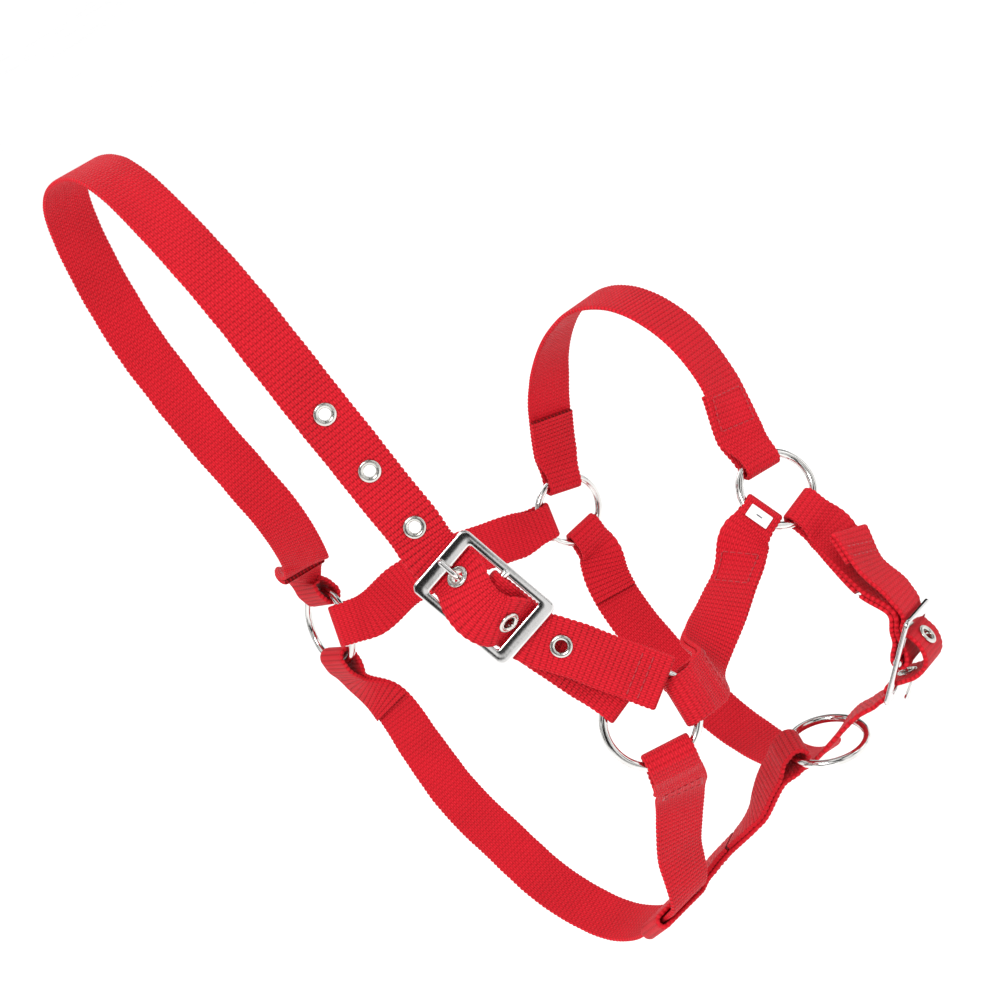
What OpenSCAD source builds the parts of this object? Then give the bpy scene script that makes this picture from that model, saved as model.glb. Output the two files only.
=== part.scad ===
// Webbing halter (headcollar) with two tongue buckles, standing open as if worn.
// Axes: +x toward the horse's nose, +y toward its left side, +z up.
// The origin is midway between the two cheek rings. All sizes in millimetres.

/* [Webbing] */
// width of the woven tape
web_w = 25; // [20:0.5:28]
// thickness of one ply
web_t = 2.4; // [1.6:0.1:2.8]
// tape width where it gathers inside a cheek ring
gather_cheek = 23; // [20:0.5:24]
// tape width where it gathers inside a nose ring
gather_nose = 19.6; // [18:0.2:22]

/* [Rings] */
// wire diameter of every ring
wire = 4; // [3:0.1:4.4]
// mean radius of the two cheek rings
cheek_ring_r = 21; // [20:0.5:24]
// mean radius of the two nose rings
nose_ring_r = 18.5; // [18:0.5:21]
// mean radius of the lead ring
lead_ring_r = 19.4; // [18.5:0.1:22]

/* [Buckles] */
// outer width of both buckle frames
frame_w = 35; // [33:0.5:40]
// outer length of the crown buckle frame
crown_frame_l = 53; // [50:0.5:58]
// outer length of the chin buckle frame
chin_frame_l = 46; // [44:0.5:52]
// width of the side rails
rail_w = 4; // [3:0.2:4.2]
// length of each flat end bar
end_bar = 7; // [5:0.5:8]
// plate thickness of the frame
frame_t = 2.4; // [1.8:0.1:2.6]
// diameter of the centre bar
bar_d = 4; // [3:0.1:4.2]
// tongue wire diameter
tongue_d = 2.5; // [2:0.1:2.8]

/* [Eyelets] */
// outer diameter of an eyelet flange
eyelet_od = 10.2; // [9:0.2:11]
// clear bore of an eyelet
eyelet_bore = 5.4; // [5:0.1:6]
// distance between eyelets along the tape
eyelet_pitch = 31; // [24:1:34]

/* [Label] */
// length of the sewn size label
label_l = 12; // [8:1:16]
// width of the sewn size label
label_w = 7; // [5:1:12]

/* [Hidden] */
$fn = 48;
gap = 0.3;
ply = web_t / 2 + 0.05;
fold_r = wire / 2 + gap + web_t / 2 + 0.3;
bar_fold_r = bar_d / 2 + gap + web_t / 2;
wrap_r = web_t + gap + 0.3;

// ---- vector helpers ----
function unit(v) = v / norm(v);
function mix(a, b, t) = a + (b - a) * t;
function clamp(t) = max(0, min(1, t));
function ease(t) = let (c = clamp(t)) c * c * (3 - 2 * c);
function flat(v, n) = unit(v - (v * n) * n);
function xyz(r) = [r[0], r[1], r[2]];
function lay(r) = [r[3], r[4], r[5]];
function row(p, w) = [p[0], p[1], p[2], w[0], w[1], w[2]];

// smooth curve through unevenly spaced rows, about one station every step mm
function knot(a, b) = norm(xyz(b) - xyz(a));
function hermite(p, m, q, n, t) = p * (2*t*t*t - 3*t*t + 1) + m * (t*t*t - 2*t*t + t)
    + q * (3*t*t - 2*t*t*t) + n * (t*t*t - t*t);
function bend(a, b, c, d) = let (u = knot(a, b), v = knot(b, c))
    ((b - a) / u - (c - a) / (u + v) + (c - b) / v);
function curve(p, step) = let (n = len(p), q = concat([2*p[0] - p[1]], p, [2*p[n-1] - p[n-2]]))
    concat([for (i = [0 : n-2])
        let (d = knot(q[i+1], q[i+2]), k = max(2, ceil(d / step)),
             m0 = bend(q[i], q[i+1], q[i+2]) * d, m1 = bend(q[i+1], q[i+2], q[i+3]) * d)
        for (j = [0 : k-1]) hermite(q[i+1], m0, q[i+2], m1, j / k)], [p[n-1]]);

// stations of a run: [point, tangent, width direction, outward direction]
function stations(rows, side) = let (n = len(rows))
    [for (i = [0 : n-1])
        let (t = unit(xyz(rows[min(i+1, n-1)]) - xyz(rows[max(i-1, 0)])),
             w = flat(lay(rows[i]), t))
        [xyz(rows[i]), t, w, side * cross(t, w)]];
function lengths(st) = let (n = len(st))
    [for (i = 0, a = 0; i < n; a = a + (i < n-1 ? norm(st[i+1][0] - st[i][0]) : 0), i = i + 1) a];
function make_run(rows, side, step = 5) = let (st = stations(curve(rows, step), side), l = lengths(st))
    [st, [for (i = [0 : len(l)-1]) [l[i], i]], l[len(l)-1], side];
function run_length(run) = run[2];

// place, tangent, width and outward direction at distance s along a run
function seat(run, s) = let (st = run[0], n = len(st),
        f = lookup(s, run[1]), i = min(floor(f), n-2), t = f - i,
        over = s < 0 ? s : (s > run[2] ? s - run[2] : 0),
        a = st[i], b = st[i+1], g = unit(mix(a[1], b[1], t)), w = flat(mix(a[2], b[2], t), g))
    [mix(a[0], b[0], t) + g * over, g, w, run[3] * cross(g, w)];
function at(run, s, v, h) = let (q = seat(run, s)) q[0] + q[2] * v + q[3] * h;

// ---- one end of a tape, as seen from its ring, bar or wrapped strap ----
// fold = [half opening, distance behind, straight reach, lap length, half width inside]
function opening(f, s) = ply + (f[0] - ply) * (1 - ease((s - f[2]) / 11));
function half_w(f, s) = mix(f[4], web_w / 2, ease((s - f[2]) / 13));
function steps(a, b, k) = [for (i = [0 : k]) mix(a, b, i / k)];
function lap_side(f, sg) = concat(
    [for (s = steps(f[3], f[2] + 13, max(1, round((f[3] - f[2] - 13) / 3))))
        [s, sg * opening(f, s), half_w(f, s)]],
    [for (s = [f[2] + 10, f[2] + 8, f[2] + 6, f[2] + 4, f[2] + 2, f[2]])
        [s, sg * opening(f, s), half_w(f, s)]]);
function u_turn(f, k = 8) = [for (i = [0 : k]) let (a = 180 * i / k)
    [-f[1] - f[0] * sin(a), -f[0] * cos(a), f[4]]];
function outer_side(f) = [for (s = [f[2], f[2]+2, f[2]+4, f[2]+6, f[2]+8, f[2]+10, f[2]+13])
    [s, opening(f, s), half_w(f, s)]];
function end_path(f) = concat(lap_side(f, -1), u_turn(f), outer_side(f));
function turned(path, l) = [for (i = [len(path)-1 : -1 : 0]) [l - path[i][0], path[i][1], path[i][2]]];
function middle(a, b, step) = let (k = max(2, ceil((b - a) / step)))
    [for (i = [1 : k-1]) [mix(a, b, i / k), ply, web_w / 2]];
function plain_end(s) = [[s, ply, web_w / 2 - 1], [s + (s > 0 ? -1 : 1), ply, web_w / 2]];

// path of a tape with folds at one or both ends
function tape_path(run, f0, f1, step) = let (l = run_length(run),
        a = is_undef(f0) ? [[0, ply, web_w/2 - 1], [1, ply, web_w/2]] : end_path(f0),
        b = is_undef(f1) ? [[l - 1, ply, web_w/2], [l, ply, web_w/2 - 1]] : turned(end_path(f1), l))
    concat(a, middle(a[len(a)-1][0], b[0][0], step), b);

// solid tape following a path of [distance, height, half width]
module tape(run, path) {
    n = len(path);
    dirs = [for (i = [0 : n-1]) let (a = path[max(i-1, 0)], b = path[min(i+1, n-1)])
        unit([b[0] - a[0], b[1] - a[1]])];
    pts = [for (i = [0 : n-1]) let (p = path[i], d = dirs[i], o = web_t / 2)
        for (c = [[1, 1], [1, -1], [-1, -1], [-1, 1]])
            at(run, p[0] - c[0] * o * d[1], c[1] * p[2], p[1] + c[0] * o * d[0])];
    turn = run[3] > 0;
    walls = [for (i = [0 : n-2]) for (j = [0 : 3]) for (h = [0, 1])
        let (a = 4*i + j, b = 4*i + (j+1) % 4, c = b + 4, d = a + 4) h == 0 ? [a, b, c] : [a, c, d]];
    z = 4 * (n-1);
    caps = [[0, 2, 1], [0, 3, 2], [z, z+1, z+2], [z, z+2, z+3]];
    faces = [for (f = concat(walls, caps)) turn ? [f[0], f[2], f[1]] : f];
    polyhedron(points = pts, faces = faces, convexity = 10);
}

// move children so their z axis lies along n and their x axis along d
module lie(p, d, n) {
    y = cross(n, d);
    multmatrix([[d[0], y[0], n[0], p[0]], [d[1], y[1], n[1], p[1]], [d[2], y[2], n[2], p[2]], [0, 0, 0, 1]])
        children();
}

// ---- rings: centre, axis, mean radius ----
ring_a = [[4, 144, 6], unit([0.88, 0.05, -0.30]), cheek_ring_r];
ring_b = [[-7, -145, -11], unit([-0.39, -0.87, 0.30]), cheek_ring_r];
ring_c = [[133, 78, -6], unit([-0.15, -0.98, 0.03]), nose_ring_r];
ring_d = [[141, -97, 6], unit([-0.11, -0.87, 0.48]), nose_ring_r];
ring_e = [[87, -113, -104], unit([0.15, -0.20, 0.97]), lead_ring_r];

// rows where a strap leaves a ring: first at the wire, then straight out for 10 mm
// tilt is the angle out of the ring's plane, toward the ring's axis
function sag(r, w) = r - sqrt(r * r - w * w / 4);
function leave(ring, w, hint, next, tilt = 0) = let (n = ring[1], d = flat(hint, n), c = cross(n, d),
        s = c * next < 0 ? -1 : 1, b = sag(ring[2], w) * sin(tilt) / 2,
        go = cos(tilt) * d + sin(tilt) * n, p = ring[0] + ring[2] * d + b * (cos(tilt) * n - sin(tilt) * d))
    [row(p, s * c), row(p + 5 * go, s * c), row(p + 10 * go, s * c)];
function back(rows) = [rows[2], rows[1], rows[0]];
function ring_fold(r, w, lap, tilt = 0) =
    [fold_r + sag(r, w) * abs(sin(tilt)) / 2, max(0, sag(r, w) * cos(tilt)) + 0.3, 1.5, lap, w / 2];

// ---- buckle frames: origin on the centre bar, x toward the ring, z outward ----
crown_o = [-33, -118, 73];
crown_x = unit([0.19, -0.34, -0.92]);
crown_z = flat([-0.48, -0.85, 0.21], crown_x);
crown_y = cross(crown_z, crown_x);
chin_o = [130, -145, -80];
chin_x = unit([0.45, -0.40, 0.80]);
chin_z = flat([0.26, -0.80, -0.54], chin_x);
chin_y = cross(chin_z, chin_x);
function crown_at(p) = crown_o + p[0] * crown_x + p[1] * crown_y + p[2] * crown_z;
function chin_at(p) = chin_o + p[0] * chin_x + p[1] * chin_y + p[2] * chin_z;

// ---- routes of the straps: [x, y, z] and the direction of the tape's width ----
hem = [ply, 0, 0, 14, web_w / 2];
bar_fold = [bar_fold_r, 0, 1, 30, web_w / 2];
function crown_row(x, y, z, t = 0) = row(crown_at([x, y, z - ply]), cos(t) * crown_y - sin(t) * crown_x);
function chin_row(x, y, z) = row(chin_at([x, y, z - ply]), -chin_y);

crown_run = make_run(concat(
    leave(ring_a, gather_cheek, [0.31, 0.12, 0.94], [0.5, -0.8, 0.2], -35),
    [row([-2, 110, 55], [0.55, -0.8, 0.2]),
     row([-9, 90, 88], [0.85, -0.5, 0.1]),
     row([-17, 92, 149], [0.87, -0.48, 0.1]),
     row([-20, 97, 221], [0.97, -0.24, 0]),
     row([-25, 62, 287], [1, -0.1, 0]),
     row([-31, -5, 296], [1, -0.06, -0.1]),
     row([-39, -62, 248], [0.99, -0.15, 0]),
     row([-39, -86, 179], [0.91, -0.38, 0.09]),
     crown_row(-68, 8, -4),
     crown_row(-42, 3, -3.6),
     crown_row(-29, 0, -2.9),
     crown_row(-23, 0, -2.85),
     crown_row(-20.5, 0, -2.85),
     crown_row(-18.9, 0, -2.7),
     crown_row(-16.3, 0, -1.1),
     crown_row(-12, -0.5, 3),
     crown_row(-5, -3.8, 7.6),
     crown_row(2, -5, 8.6),
     crown_row(8.4, -3.8, 7.2),
     crown_row(13, -0.7, 3.6),
     crown_row(16.3, 0, -1.1),
     crown_row(18.9, 0, -2.7),
     crown_row(20.5, 0, -2.85),
     crown_row(23, 0, -2.85),
     crown_row(27, 0.3, -2.85, 3),
     crown_row(31, 1.6, -2.4, 12),
     crown_row(38, 5, -1.4, 19),
     crown_row(60, 13.4, 0.4, 20),
     crown_row(82, 21.5, 1.2, 20)]), 1);

billet_run = make_run(concat(
    [row(crown_o, crown_y),
     row(crown_at([7, 0, -1.8]), crown_y),
     row(crown_at([13, 0, -4.6]), crown_y),
     row(crown_at([20, 0, -7]), crown_y),
     row(crown_at([28, 0.4, -7.4]), crown_y),
     row(crown_at([45, 2, -8]), crown_y)],
    back(leave(ring_b, gather_cheek, [-0.23, 0.41, 0.88], crown_y, 0))), 1);

left_cheek_run = make_run(concat(
    leave(ring_a, gather_cheek, [0.09, -0.985, 0.14], [0.4, 0.2, 0.9], 40),
    [row([40, 110, 10], [0.46, 0.36, 0.81]),
     row([64, 99, 9], [0.42, 0.38, 0.83]),
     row([90, 86, 3], [0.36, 0.37, 0.86])],
    back(leave(ring_c, gather_nose, [-0.93, 0.30, 0.15], [0.1, 0.1, 1], 0))), -1);

right_cheek_run = make_run(concat(
    leave(ring_d, gather_nose, [-0.97, 0, -0.24], [0.1, 0.5, 0.9], 0),
    [row([101, -98, -10], [-0.15, 0.92, 0.35]),
     row([78, -103, -18], [-0.2, 0.88, 0.42]),
     row([50, -116, -21], [-0.1, 0.5, 0.85])],
    back(leave(ring_b, gather_cheek, [0.91, -0.41, 0], [0.1, 0.2, 1], -35))), -1);

nose_run = make_run(concat(
    leave(ring_c, gather_nose, [0.30, -0.10, 0.95], [1, -0.2, -0.2], 0),
    [row([149, 60, 61], [0.95, -0.25, -0.2]),
     row([151, 42, 82], [0.99, -0.05, -0.13]),
     row([153, 19, 99], [1, 0, -0.05]),
     row([155, -8, 109], [1, 0, -0.07]),
     row([156, -39, 106], [0.98, 0.1, -0.13]),
     row([156, -63, 89], [0.97, 0.15, -0.12]),
     row([154, -76, 60], [0.97, 0.17, -0.1])],
    back(leave(ring_d, gather_nose, [0.18, 0.44, 0.88], [1, -0.2, -0.2], 0))), 1);

// the throat strap runs straight for a short way where the connector wraps it
wrap_p = [-6, -66, -140];
wrap_t = unit([0, -0.86, 0.50]);
wrap_w = [1, 0, 0];
wrap_n = -cross(wrap_t, wrap_w);
throat_run = make_run(concat(
    leave(ring_a, gather_cheek, [-0.22, -0.09, -0.97], [0.4, -0.8, 0.4], 20),
    [row([4, 131, -46], [0.6, -0.75, 0.2]),
     row([1, 118, -71], [0.8, -0.55, 0.2]),
     row([-5, 96, -98], [0.92, -0.35, 0.15]),
     row([-9, 67, -119], [0.95, -0.25, 0.15]),
     row([-11, 28, -147], [0.98, -0.15, 0.15]),
     row([-8, -10, -160], [0.99, 0, 0.1]),
     row([-6, -34, -156], [1, 0, 0.03]),
     for (d = [-20, -14, -7, 0, 7, 14, 20]) row(wrap_p + d * wrap_t - ply * wrap_n, wrap_w),
     row([-4, -99, -96], [0.97, -0.15, -0.18]),
     row([1, -116, -66], [0.92, -0.3, -0.25])],
    back(leave(ring_b, gather_cheek, [-0.20, -0.24, -0.95], [0.9, -0.4, -0.2], -40))), -1);

chin_run = make_run(concat(
    leave(ring_c, gather_nose, [0.10, 0, -1], [1, -0.2, 0], 0),
    [row([129, 71, -49], [0.95, -0.3, 0.08]),
     row([119, 42, -94], [0.92, -0.37, 0.1]),
     row([113, 0, -130], [0.98, -0.15, 0.03]),
     row([105.5, -45, -138], [0.96, -0.15, -0.2]),
     row([97.5, -80, -126], [0.96, 0, -0.2]),
     row([90, -113, -105], [0.96, 0.26, -0.1]),
     row([103, -124, -96.5], [0.65, 0.70, -0.32]),
     row([112, -129, -96], [0.75, 0.60, -0.30]),
     chin_row(-19.5, 0, -2.85),
     chin_row(-17, 0, -2.85),
     chin_row(-15.4, 0, -2.6),
     chin_row(-13, 0, -0.9),
     chin_row(-9, 0, 4.4),
     chin_row(-4, 0, 9.8),
     chin_row(3, 0, 12.2),
     chin_row(9.4, 0, 8.4),
     chin_row(12.4, 0, 2.4),
     chin_row(14, 0, -1.4),
     chin_row(15.8, 0, -2.75),
     chin_row(17.4, 0, -2.85),
     chin_row(20, 0, -2.85),
     row([139.2, -147, -52], [0.88, 0.38, -0.28]),
     row([139.9, -135.4, -37], [0.87, 0.38, -0.29]),
     row([145.4, -126.5, -22.5], [0.92, 0.20, -0.28])]), -1);

chin_billet_run = make_run(concat(
    [row(chin_o, -chin_y),
     row(chin_at([7, 0, -2.2]), -chin_y),
     row(chin_at([13, 0, -5.7]), -chin_y),
     row(chin_at([20, 0, -7.9]), -chin_y),
     row([137.2, -133.6, -47.5], [0.87, 0.38, -0.30])],
    back(leave(ring_d, gather_nose, [0.16, -0.49, -0.86], [1, -0.2, -0.1], 0))), -1);

link_run = make_run(concat(
    [row(wrap_p, wrap_t),
     row(wrap_p + [15, 0, 0], wrap_t),
     row(wrap_p + [28, -3.5, 4], [0, -0.80, 0.45]),
     row([46, -87, -122], [-0.1, -0.85, 0.40])],
    back(leave(ring_e, 21, [-0.85, 0.48, 0.23], [-0.2, -0.9, 0.2], -38))), 1);

lead_pinch = 10.4;
function near(run, p) = let (d = [for (q = run[0]) norm(q[0] - p)], m = min(d))
    lookup([for (i = [0 : len(d)-1]) if (d[i] == m) i][0], [for (r = run[1]) [r[1], r[0]]]);

// ---- folds of every tape ----
crown_fold = ring_fold(cheek_ring_r, gather_cheek, 40, -35);
cheek_fold = ring_fold(cheek_ring_r, gather_cheek, 38, 0);
nose_fold = ring_fold(nose_ring_r, gather_nose, 38, 0);
function with_lap(f, lap) = [f[0], f[1], f[2], lap, f[4]];
function closed_path(run, f0, f1, share = 0.5) = let (l = run_length(run) - 2)
    tape_path(run, with_lap(f0, l * share), with_lap(f1, l * (1 - share)), 3);

crown_path = tape_path(crown_run, crown_fold, hem, 4);
billet_path = closed_path(billet_run, bar_fold, cheek_fold, 0.45);
left_cheek_path = closed_path(left_cheek_run, ring_fold(cheek_ring_r, gather_cheek, 0, 40), nose_fold);
right_cheek_path = closed_path(right_cheek_run, nose_fold, ring_fold(cheek_ring_r, gather_cheek, 0, -35));
nose_path = tape_path(nose_run, nose_fold, nose_fold, 4);
throat_path = tape_path(throat_run, ring_fold(cheek_ring_r, gather_cheek, 38, 20), ring_fold(cheek_ring_r, gather_cheek, 38, -40), 4);
chin_path = tape_path(chin_run, nose_fold, hem, 4);
chin_billet_path = closed_path(chin_billet_run, bar_fold, nose_fold, 0.45);
link_path = closed_path(link_run, [wrap_r, web_w / 2 + 1, web_w / 2, 0, web_w / 2],
    ring_fold(lead_ring_r, 21, 0, -44), 0.45);

// distance along a run of the station nearest a point
function nearest(run, p) = let (d = [for (q = run[0]) norm(q[0] - p)], m = min(d))
    [for (i = [0 : len(d)-1]) if (d[i] == m) run[1][i][0]][0];

// the same, to the exact foot of the perpendicular
function along(run, p) = let (s = nearest(run, p), q = seat(run, s)) s + (p - q[0]) * q[1];

// the tape is gathered where it goes through the lead ring
lead_s = nearest(chin_run, ring_e[0] + [3, 0, -1]);
chin_gathered = [for (p = chin_path)
    [p[0], p[1], min(p[2], p[1] < 0 ? p[2] : mix(10.2, web_w / 2, ease((abs(p[0] - lead_s) - 10) / 16)))]];

// ---- eyelets: [run, distance along it, sideways shift] ----
crown_hole_s = along(crown_run, crown_at([-14, 0, 1.5]));
crown_holes = [for (k = [-3 : 2]) [crown_hole_s + k * eyelet_pitch, k < 0 ? 0.6 : 0]];
chin_hole_s = along(chin_run, chin_at([-10.6, 0, 3]));
chin_holes = [[chin_hole_s, 0], [chin_hole_s + 25, 0]];
module eyelet_seat(run, hole) {
    q = seat(run, hole[0]);
    lie(q[0] + q[2] * hole[1] + q[3] * ply, q[1], q[3]) children();
}
module eyelet_cut() {
    cylinder(d = eyelet_bore + 2.2, h = 3 * web_t, center = true, $fn = 28);
    for (s = [-1, 1]) translate([0, 0, s * (web_t / 2 + 1.88)])
        cylinder(d = eyelet_od + 0.4, h = 4, center = true, $fn = 28);
}
module eyelet_ring() {
    top = web_t / 2 + 0.1;
    rotate_extrude() difference() {
        polygon([[eyelet_bore/2, -top - 0.7], [eyelet_od/2 - 0.5, -top - 0.7], [eyelet_od/2, -top - 0.35],
            [eyelet_od/2, -top], [eyelet_bore/2 + 0.9, -top], [eyelet_bore/2 + 0.9, top],
            [eyelet_od/2, top], [eyelet_od/2, top + 0.35], [eyelet_od/2 - 0.6, top + 0.8],
            [eyelet_bore/2 + 0.5, top + 0.9], [eyelet_bore/2, top + 0.4]]);
        translate([-1, -5]) square([1, 10]);
    }
}

// ---- nodes: webbing ----
red = [0.83, 0.10, 0.16];
steel = [0.80, 0.80, 0.82];
module crown_strap() {
    color(red) difference() {
        tape(crown_run, crown_path);
        for (h = crown_holes) eyelet_seat(crown_run, h) eyelet_cut();
    }
}
module crown_billet() {
    color(red) difference() {
        tape(billet_run, billet_path);
        lie(crown_at([-5, tongue_y - 2.6, -7]), crown_x, crown_z) cube([13, 5.2, 14]);
    }
}
module left_cheek_strap() {
    color(red) tape(left_cheek_run, left_cheek_path);
}
module right_cheek_strap() {
    color(red) tape(right_cheek_run, right_cheek_path);
}
module noseband() {
    color(red) tape(nose_run, nose_path);
}
module throat_strap() {
    color(red) tape(throat_run, throat_path);
}
module chin_strap() {
    color(red) difference() {
        tape(chin_run, chin_gathered);
        for (h = chin_holes) eyelet_seat(chin_run, h) eyelet_cut();
    }
}
module chin_billet() {
    color(red) difference() {
        tape(chin_billet_run, chin_billet_path);
        lie(chin_at([-5, -2.6, -7]), chin_x, chin_z) cube([13, 5.2, 14]);
    }
}
module connector_strap() {
    color(red) tape(link_run, link_path);
}

// ---- nodes: rings ----
module ring(r) {
    color(steel) lie(r[0], flat([0.3, 0.5, 0.8], r[1]), r[1])
        rotate_extrude() translate([r[2], 0]) circle(d = wire);
}
module left_cheek_ring() { ring(ring_a); }
module right_cheek_ring() { ring(ring_b); }
module left_nose_ring() { ring(ring_c); }
module right_nose_ring() { ring(ring_d); }
module lead_ring() { ring(ring_e); }

// ---- nodes: buckles ----
module rounded(l, w, r) {
    union() {
        square([l - 2 * r, w], center = true);
        square([l, w - 2 * r], center = true);
        for (x = [-1, 1]) for (y = [-1, 1]) translate([x * (l/2 - r), y * (w/2 - r)]) circle(r = r);
    }
}
module frame(l) {
    color(steel) {
        translate([0, 0, -frame_t / 2]) linear_extrude(frame_t) difference() {
            rounded(l, frame_w, 3.5);
            rounded(l - 2 * end_bar, frame_w - 2 * rail_w, 1.2);
        }
        rotate([90, 0, 0]) cylinder(d = bar_d, h = frame_w - rail_w, center = true);
    }
}
module crown_buckle_frame() { lie(crown_o, crown_x, crown_z) frame(crown_frame_l); }
module chin_buckle_frame() { lie(chin_o, chin_x, chin_z) frame(chin_frame_l); }

// tongue: an eye round the centre bar and a wire that rises through an eyelet
tongue_y = -0.2;
module tongue(pts) {
    r = bar_d / 2 + gap;
    color(steel) {
        rotate([90, 0, 0]) difference() {
            cylinder(r = r + tongue_d * 0.9, h = tongue_d, center = true);
            cylinder(r = r, h = tongue_d + 2, center = true);
        }
        for (i = [0 : len(pts) - 2]) {
            a = pts[i];
            b = pts[i + 1];
            translate([a[0], 0, a[1]]) rotate([0, atan2(b[0] - a[0], b[1] - a[1]), 0])
                cylinder(d = tongue_d - 0.1, h = norm(b - a));
            translate([b[0], 0, b[1]]) sphere(d = tongue_d);
        }
    }
}
crown_tongue_pts = [[-3.2, -1.5], [-11.4, -1.6], [-15.8, 4.1], [-25.4, 2.9]];
chin_tongue_pts = [[-3.2, -1.5], [-7.6, -0.6], [-13.2, 6.2], [-24, 5]];
module crown_buckle_tongue() {
    lie(crown_at([0, tongue_y, 0]), crown_x, crown_z) tongue(crown_tongue_pts);
}
module chin_buckle_tongue() {
    lie(chin_o, chin_x, chin_z) tongue(chin_tongue_pts);
}

// ---- nodes: eyelets ----
module crown_eyelets() {
    color(steel) for (h = crown_holes) eyelet_seat(crown_run, h) eyelet_ring();
}
module chin_eyelets() {
    color(steel) for (h = chin_holes) eyelet_seat(chin_run, h) eyelet_ring();
}

// ---- nodes: sewing and label ----
module stitch_row(run, s0, s1, v0, v1, h, pitch = 3.2) {
    a = at(run, s0, v0, h);
    n = max(1, floor(norm([s1 - s0, v1 - v0]) / pitch));
    for (i = [0 : n-1]) {
        t = (i + 0.5) / n;
        q = seat(run, mix(s0, s1, t));
        d = s0 == s1 ? q[2] : (v0 == v1 ? q[1] : unit(q[1] * (s1 - s0) + q[2] * (v1 - v0)));
        lie(q[0] + q[2] * mix(v0, v1, t) + q[3] * h, d, q[3])
            cube([pitch * 0.62, 0.7, 0.3], center = true);
    }
}
module box_tack(run, s0, s1, w, h) {
    stitch_row(run, s0, s0, -w, w, h);
    stitch_row(run, s1, s1, -w, w, h);
    stitch_row(run, s0, s1, -w, -w, h);
    stitch_row(run, s0, s1, w, w, h);
}
top_h = ply + web_t / 2 + 0.55;
module crown_stitching() {
    color(red) {
        box_tack(crown_run, 20, 37, 9.5, top_h + 0.2);
        for (d = [7, 12]) let (s = run_length(crown_run) - d) stitch_row(crown_run, s, s, -10, 10, top_h);
        box_tack(billet_run, 34, 50, 9.5, -top_h - 0.3);
    }
}
module cheek_stitching() {
    color(red) for (run = [left_cheek_run, right_cheek_run]) {
        box_tack(run, 20, 36, 9, top_h + 0.5);
        box_tack(run, run_length(run) - 36, run_length(run) - 20, 9, top_h + 0.5);
    }
}
module nose_stitching() {
    color(red) {
        box_tack(nose_run, 18, 35, 9.5, top_h);
        box_tack(nose_run, run_length(nose_run) - 35, run_length(nose_run) - 18, 9.5, top_h);
    }
}
module throat_stitching() {
    color(red) {
        box_tack(throat_run, 19, 36, 9.5, top_h);
        box_tack(throat_run, run_length(throat_run) - 36, run_length(throat_run) - 19, 9.5, top_h);
    }
}
module chin_stitching() {
    color(red) {
        box_tack(chin_run, 18, 35, 9.5, top_h + 0.3);
        for (d = [7, 12]) let (s = run_length(chin_run) - d) stitch_row(chin_run, s, s, -10, 10, top_h + 0.2);
        box_tack(chin_billet_run, 30, 44, 9.5, -top_h - 0.3);
    }
}
module connector_stitching() {
    color(red) {
        box_tack(link_run, 26, 40, 9, top_h);
        box_tack(link_run, run_length(link_run) - 32, run_length(link_run) - 20, 8.5, top_h);
    }
}
module size_label() {
    q = seat(right_cheek_run, 1);
    color([0.95, 0.95, 0.95]) lie(q[0] + q[3] * (fold_r + web_t / 2 + 0.3), q[2], q[3])
        cube([label_l, label_w, 0.4], center = true);
}

// ---- part ----
crown_strap();
crown_billet();
left_cheek_strap();
right_cheek_strap();
noseband();
throat_strap();
chin_strap();
chin_billet();
connector_strap();
left_cheek_ring();
right_cheek_ring();
left_nose_ring();
right_nose_ring();
lead_ring();
crown_buckle_frame();
crown_buckle_tongue();
chin_buckle_frame();
chin_buckle_tongue();
crown_eyelets();
chin_eyelets();
size_label();
crown_stitching();
cheek_stitching();
nose_stitching();
throat_stitching();
chin_stitching();
connector_stitching();
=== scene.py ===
import math

import bpy
import numpy as np
from mathutils import Matrix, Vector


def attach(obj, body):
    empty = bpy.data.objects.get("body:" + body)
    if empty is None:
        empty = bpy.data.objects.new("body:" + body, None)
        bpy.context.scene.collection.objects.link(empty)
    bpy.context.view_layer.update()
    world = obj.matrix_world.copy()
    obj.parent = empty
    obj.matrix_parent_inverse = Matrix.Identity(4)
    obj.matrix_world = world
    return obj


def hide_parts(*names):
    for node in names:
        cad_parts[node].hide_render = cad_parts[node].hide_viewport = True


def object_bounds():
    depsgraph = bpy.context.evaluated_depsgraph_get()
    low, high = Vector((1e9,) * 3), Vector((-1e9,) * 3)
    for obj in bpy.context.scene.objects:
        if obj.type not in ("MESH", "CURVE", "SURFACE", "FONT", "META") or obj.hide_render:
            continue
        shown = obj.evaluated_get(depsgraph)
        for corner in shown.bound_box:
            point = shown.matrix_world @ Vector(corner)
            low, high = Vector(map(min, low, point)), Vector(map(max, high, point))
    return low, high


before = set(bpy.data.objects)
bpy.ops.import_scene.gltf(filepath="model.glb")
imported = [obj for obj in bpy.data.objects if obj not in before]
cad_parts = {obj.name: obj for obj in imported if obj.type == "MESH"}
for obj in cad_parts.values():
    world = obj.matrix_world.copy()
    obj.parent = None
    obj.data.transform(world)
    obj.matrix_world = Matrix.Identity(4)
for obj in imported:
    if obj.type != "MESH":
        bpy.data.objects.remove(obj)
cad_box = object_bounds()
MM = 0.001

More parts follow.
